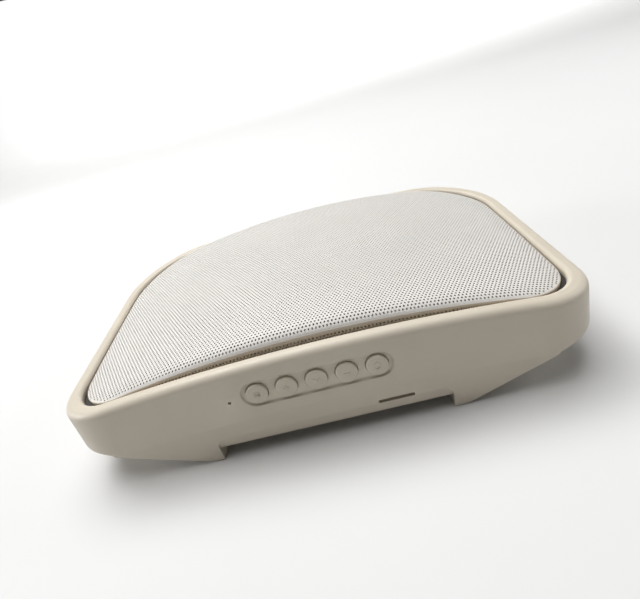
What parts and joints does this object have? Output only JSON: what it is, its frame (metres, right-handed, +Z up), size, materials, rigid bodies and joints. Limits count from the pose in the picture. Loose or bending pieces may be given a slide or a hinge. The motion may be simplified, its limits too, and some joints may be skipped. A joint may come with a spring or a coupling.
{
  "type": "shower speaker",
  "caption": "Oblong cream tabletop speaker with an arched perforated grille, a row of round push buttons and a card slot in front, and a channelled base.",
  "frame": {"origin": "on the standing surface under the middle of the body", "axes": "+X along the length, to the right seen from the button side; the buttons face -Y; +Z up"},
  "size_m": [0.1876, 0.1248, 0.0436],
  "materials": {
    "cream_plastic": "satin moulded",
    "button_plastic": "satin moulded",
    "grille_sheet": "powder-coated perforated steel",
    "grille_cloth": "woven dust cloth",
    "inner_plastic": "moulded",
    "seal_rubber": "soft moulded",
    "mat_silicone": "translucent silicone",
    "pressed_steel": "zinc plated",
    "magnet_steel": "nickel plated",
    "paper_cone": "coated paper",
    "coil_copper": "enamelled wire on a former",
    "damper_cloth": "treated cloth",
    "radiator_alloy": "anodised",
    "board_laminate": "solder mask",
    "component_black": "moulded",
    "socket_steel": "plated",
    "cell_foil": "foil pouch",
    "lead_red": "insulated wire",
    "ribbon_film": "polyimide film",
    "screw_steel": "zinc plated"
  },
  "bodies": {
    "speaker_body": {"baffle_plate": "inner_plastic", "baffle_screws": "screw_steel", "base_shell": "cream_plastic", "battery_cell": "cell_foil", "battery_lead": "lead_red", "battery_tray": "inner_plastic", "board_components": "component_black", "board_screws": "screw_steel", "button_board": "board_laminate", "button_mat": "mat_silicone", "button_ribbon": "ribbon_film", "card_socket": "socket_steel", "casing_screws": "screw_steel", "casing_seal": "seal_rubber", "charge_board": "board_laminate", "charge_socket": "socket_steel", "driver_screws": "screw_steel", "grille": "grille_sheet", "grille_cloth": "grille_cloth", "grille_frame": "inner_plastic", "left_damper": "damper_cloth", "left_driver_basket": "pressed_steel", "left_driver_gasket": "seal_rubber", "left_driver_lead": "lead_red", "left_driver_magnet": "magnet_steel", "left_surround": "seal_rubber", "main_board": "board_laminate", "microphone": "component_black", "microphone_boot": "seal_rubber", "radiator_frame": "inner_plastic", "radiator_gasket": "seal_rubber", "radiator_screws": "screw_steel", "radiator_surround": "seal_rubber", "right_damper": "damper_cloth", "right_driver_basket": "pressed_steel", "right_driver_gasket": "seal_rubber", "right_driver_lead": "lead_red", "right_driver_magnet": "magnet_steel", "right_surround": "seal_rubber", "tact_switches": "component_black", "upper_casing": "cream_plastic", "wireless_module": "component_black"},
    "mode_button": {"mode_button": "button_plastic"},
    "plus_button": {"plus_button": "button_plastic"},
    "play_button": {"play_button": "button_plastic"},
    "minus_button": {"minus_button": "button_plastic"},
    "power_button": {"power_button": "button_plastic"},
    "left_cone": {"left_driver_cone": "paper_cone", "left_voice_coil": "coil_copper", "left_dust_cap": "paper_cone"},
    "right_cone": {"right_driver_cone": "paper_cone", "right_voice_coil": "coil_copper", "right_dust_cap": "paper_cone"},
    "radiator_plate": {"radiator_plate": "radiator_alloy"}
  },
  "joints": [
    {"name": "mode_press", "type": "slide", "parent": "speaker_body", "child": "mode_button", "axis": [0, 0.9982, -0.0593], "range_m": [0, 0.0005], "stiffness_N_per_m": 2000, "springref_m": -0.0002},
    {"name": "plus_press", "type": "slide", "parent": "speaker_body", "child": "plus_button", "axis": [0, 0.9982, -0.0593], "range_m": [0, 0.0005], "stiffness_N_per_m": 2000, "springref_m": -0.0002},
    {"name": "play_press", "type": "slide", "parent": "speaker_body", "child": "play_button", "axis": [0, 0.9982, -0.0593], "range_m": [0, 0.0005], "stiffness_N_per_m": 2000, "springref_m": -0.0002},
    {"name": "minus_press", "type": "slide", "parent": "speaker_body", "child": "minus_button", "axis": [0, 0.9982, -0.0593], "range_m": [0, 0.0005], "stiffness_N_per_m": 2000, "springref_m": -0.0002},
    {"name": "power_press", "type": "slide", "parent": "speaker_body", "child": "power_button", "axis": [0, 0.9982, -0.0593], "range_m": [0, 0.0005], "stiffness_N_per_m": 2000, "springref_m": -0.0002},
    {"name": "left_cone_stroke", "type": "slide", "parent": "speaker_body", "child": "left_cone", "axis": [0, 0, 1], "range_m": [-0.001, 0.001], "stiffness_N_per_m": 1500, "deforming": ["left_surround", "left_damper"]},
    {"name": "right_cone_stroke", "type": "slide", "parent": "speaker_body", "child": "right_cone", "axis": [0, 0, 1], "range_m": [-0.001, 0.001], "stiffness_N_per_m": 1500, "deforming": ["right_surround", "right_damper"]},
    {"name": "radiator_stroke", "type": "slide", "parent": "speaker_body", "child": "radiator_plate", "axis": [0, 0, 1], "range_m": [-0.0012, 0.0012], "stiffness_N_per_m": 1500, "deforming": ["radiator_surround"]}
  ]
}
